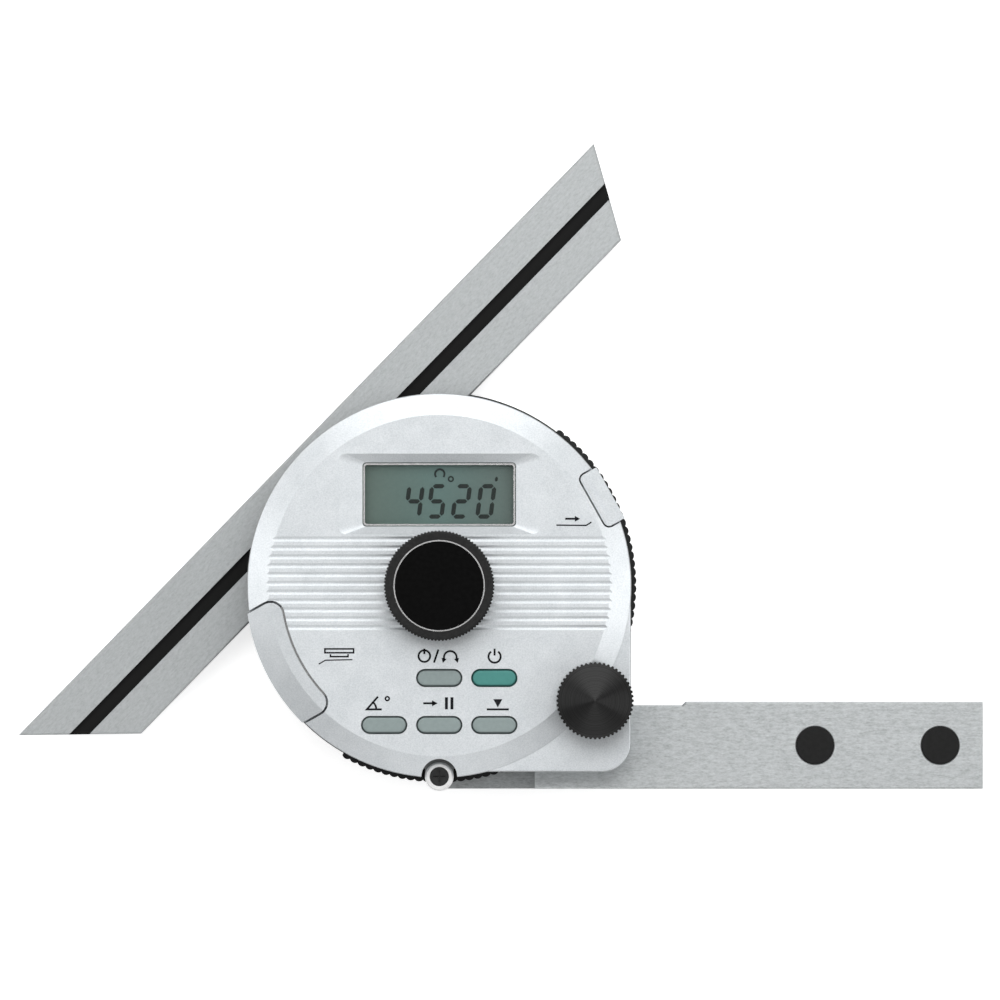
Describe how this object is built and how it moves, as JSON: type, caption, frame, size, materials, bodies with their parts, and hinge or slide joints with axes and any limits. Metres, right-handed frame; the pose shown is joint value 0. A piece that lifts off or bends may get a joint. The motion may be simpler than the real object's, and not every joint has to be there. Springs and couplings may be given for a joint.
{
  "type": "digital bevel protractor",
  "caption": "Digital bevel protractor: a turning blade on a stock, with display housing, buttons, fine-feed knob, centre clamp knob and battery drawer.",
  "frame": {"origin": "on the turret's axis, at the flat rear face that the part rests on", "axes": "+X along the stock towards its free end, +Y away from the stock in the plane of the blade, +Z through the display towards the viewer"},
  "size_m": [0.1751, 0.1175, 0.0306],
  "materials": {
    "silver_paint": "fine satin silver paint",
    "ground_steel": "ground, grain along its length",
    "plate_steel": "bright",
    "black_anodised": "black anodised",
    "black_screws": "blackened",
    "black_plastic": "matte",
    "gloss_black": "polished",
    "bright_ring": "polished",
    "display": "reflective display",
    "clear_window": "clear",
    "board": "printed board",
    "keypad": "soft",
    "bronze": "turned",
    "cell_can": "satin",
    "grey_buttons": "satin",
    "green_button": "satin"
  },
  "bodies": {
    "frame": {"stock": "ground_steel", "stock_plugs": "black_plastic", "frame_plate": "plate_steel", "frame_screws": "black_screws", "bearing_bush": "bronze", "friction_washer": "black_plastic", "edge_boss": "plate_steel", "edge_boss_screw": "black_screws", "housing": "silver_paint", "housing_screws": "black_screws", "corner_screw": "black_screws", "display_panel": "display", "display_window": "clear_window", "display_bezel": "bright_ring", "circuit_board": "board", "board_screws": "black_screws", "keypad_mat": "keypad", "thrust_washer": "plate_steel", "fine_bush": "bronze", "battery_contacts": "plate_steel", "data_socket": "black_plastic"},
    "turret": {"turret_base": "black_anodised", "turret_ring": "black_anodised", "turret_screws": "black_screws", "drive_gear": "bronze", "encoder_disc": "board", "rotor_nut": "black_screws", "clamp_stud": "plate_steel"},
    "blade": {"blade": "ground_steel"},
    "hook": {"blade_hook": "plate_steel"},
    "hook_nut": {"hook_nut": "black_anodised"},
    "centre_knob": {"clamp_knob": "black_anodised", "knob_ring": "bright_ring", "knob_disc": "gloss_black"},
    "fine_feed": {"fine_shaft": "plate_steel", "fine_pinion": "bronze", "fine_knob": "black_anodised"},
    "battery_drawer": {"battery_drawer": "silver_paint", "coin_cell": "cell_can"},
    "port_cover": {"port_cover": "silver_paint"},
    "button_upper_middle": {"button_upper_middle": "grey_buttons"},
    "button_upper_right": {"button_upper_right": "green_button"},
    "button_lower_left": {"button_lower_left": "grey_buttons"},
    "button_lower_middle": {"button_lower_middle": "grey_buttons"},
    "button_lower_right": {"button_lower_right": "grey_buttons"}
  },
  "joints": [
    {"name": "blade_turn", "type": "hinge", "parent": "frame", "child": "turret", "pos_m": [0, 0, 0], "axis": [0, 0, 1], "continuous": true},
    {"name": "blade_slide", "type": "slide", "parent": "turret", "child": "blade", "axis": [0.6972, 0.7169, 0], "range_m": [-0.045, 0.045]},
    {"name": "hook_nut_turn", "type": "hinge", "parent": "turret", "child": "hook_nut", "pos_m": [-0.01111, 0.01081, 0], "axis": [0, 0, -1], "range_deg": [0, 180]},
    {"name": "hook_lift", "type": "slide", "parent": "turret", "child": "hook", "axis": [0, 0, 1], "range_m": [0, 0.00035]},
    {"name": "centre_knob_turn", "type": "hinge", "parent": "turret", "child": "centre_knob", "pos_m": [0, 0, 0], "axis": [0, 0, 1], "range_deg": [0, 90]},
    {"name": "fine_knob_turn", "type": "hinge", "parent": "frame", "child": "fine_feed", "pos_m": [0.0282, -0.0208, 0], "axis": [0, 0, 1], "continuous": true},
    {"name": "drawer_slide", "type": "slide", "parent": "frame", "child": "battery_drawer", "axis": [-0.8721, -0.4894, 0], "range_m": [0, 0.024]},
    {"name": "port_cover_slide", "type": "slide", "parent": "frame", "child": "port_cover", "axis": [0.8721, 0.4894, 0], "range_m": [0, 0.008]},
    {"name": "press_upper_middle", "type": "slide", "parent": "frame", "child": "button_upper_middle", "axis": [0, 0, -1], "range_m": [0, 0.0005], "stiffness_N_per_m": 600, "springref_m": -0.0003},
    {"name": "press_upper_right", "type": "slide", "parent": "frame", "child": "button_upper_right", "axis": [0, 0, -1], "range_m": [0, 0.0005], "stiffness_N_per_m": 600, "springref_m": -0.0003},
    {"name": "press_lower_left", "type": "slide", "parent": "frame", "child": "button_lower_left", "axis": [0, 0, -1], "range_m": [0, 0.0005], "stiffness_N_per_m": 600, "springref_m": -0.0003},
    {"name": "press_lower_middle", "type": "slide", "parent": "frame", "child": "button_lower_middle", "axis": [0, 0, -1], "range_m": [0, 0.0005], "stiffness_N_per_m": 600, "springref_m": -0.0003},
    {"name": "press_lower_right", "type": "slide", "parent": "frame", "child": "button_lower_right", "axis": [0, 0, -1], "range_m": [0, 0.0005], "stiffness_N_per_m": 600, "springref_m": -0.0003}
  ],
  "couplings": [
    {"joint": "fine_knob_turn", "follows": "blade_turn", "ratio": -6},
    {"joint": "hook_nut_turn", "follows": "hook_lift", "rad_per_m": 8976}
  ]
}
